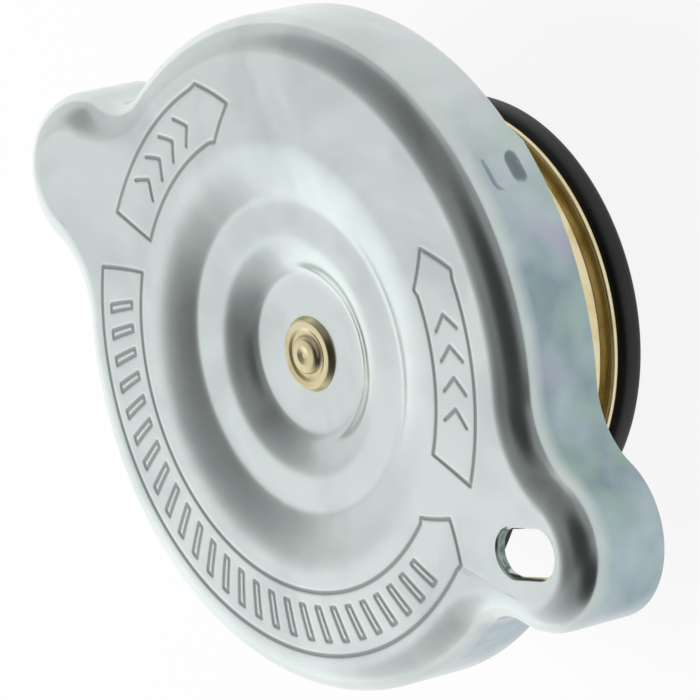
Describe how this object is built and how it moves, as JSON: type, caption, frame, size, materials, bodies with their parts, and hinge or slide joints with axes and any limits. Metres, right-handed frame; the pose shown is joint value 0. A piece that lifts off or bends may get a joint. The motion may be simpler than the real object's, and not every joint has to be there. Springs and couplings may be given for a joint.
{
  "type": "radiator cap",
  "caption": "Two-eared bayonet pressure cap for a radiator filler neck, with a spring-loaded brass pressure valve, a vacuum valve and rubber seals.",
  "frame": {"origin": "on the cap's axis, in the plane of the lower seal's face, which is the bottom centre of the whole cap", "axes": "+Z along the cap's axis towards its outer face, +X through the ear with the hole"},
  "size_m": [0.0854, 0.064, 0.0256],
  "materials": {
    "zinc_plated_steel": "bright zinc plate on pressed sheet, with a faint blue and green tint",
    "brass": "pressed and turned, bright",
    "rubber": "moulded, matt",
    "spring_steel": "drawn wire and rolled strip, oiled"
  },
  "bodies": {
    "shell_body": {"cap_shell": "zinc_plated_steel", "centre_rivet": "brass"},
    "housing_body": {"spring_housing": "brass", "rivet_washer": "spring_steel", "spring_disc": "spring_steel", "upper_gasket": "rubber", "pressure_spring": "spring_steel"},
    "pressure_body": {"valve_guide": "brass", "valve_plate": "brass", "lower_seal": "rubber", "seal_retainer": "brass", "vacuum_spring": "spring_steel"},
    "vacuum_body": {"vacuum_valve": "brass", "vacuum_seal": "rubber", "stem_collar": "brass"}
  },
  "joints": [
    {"name": "valve_swivel", "type": "hinge", "parent": "shell_body", "child": "housing_body", "pos_m": [0, 0, 0.02], "axis": [0, 0, 1], "continuous": true},
    {"name": "pressure_lift", "type": "slide", "parent": "housing_body", "child": "pressure_body", "axis": [0, 0, 1], "range_m": [0, 0.001], "stiffness_N_per_m": 1500, "springref_m": -0.002, "deforming": ["pressure_spring"]},
    {"name": "vacuum_drop", "type": "slide", "parent": "pressure_body", "child": "vacuum_body", "axis": [0, 0, -1], "range_m": [0, 0.0015], "stiffness_N_per_m": 50, "springref_m": -0.002, "deforming": ["vacuum_spring"]}
  ]
}
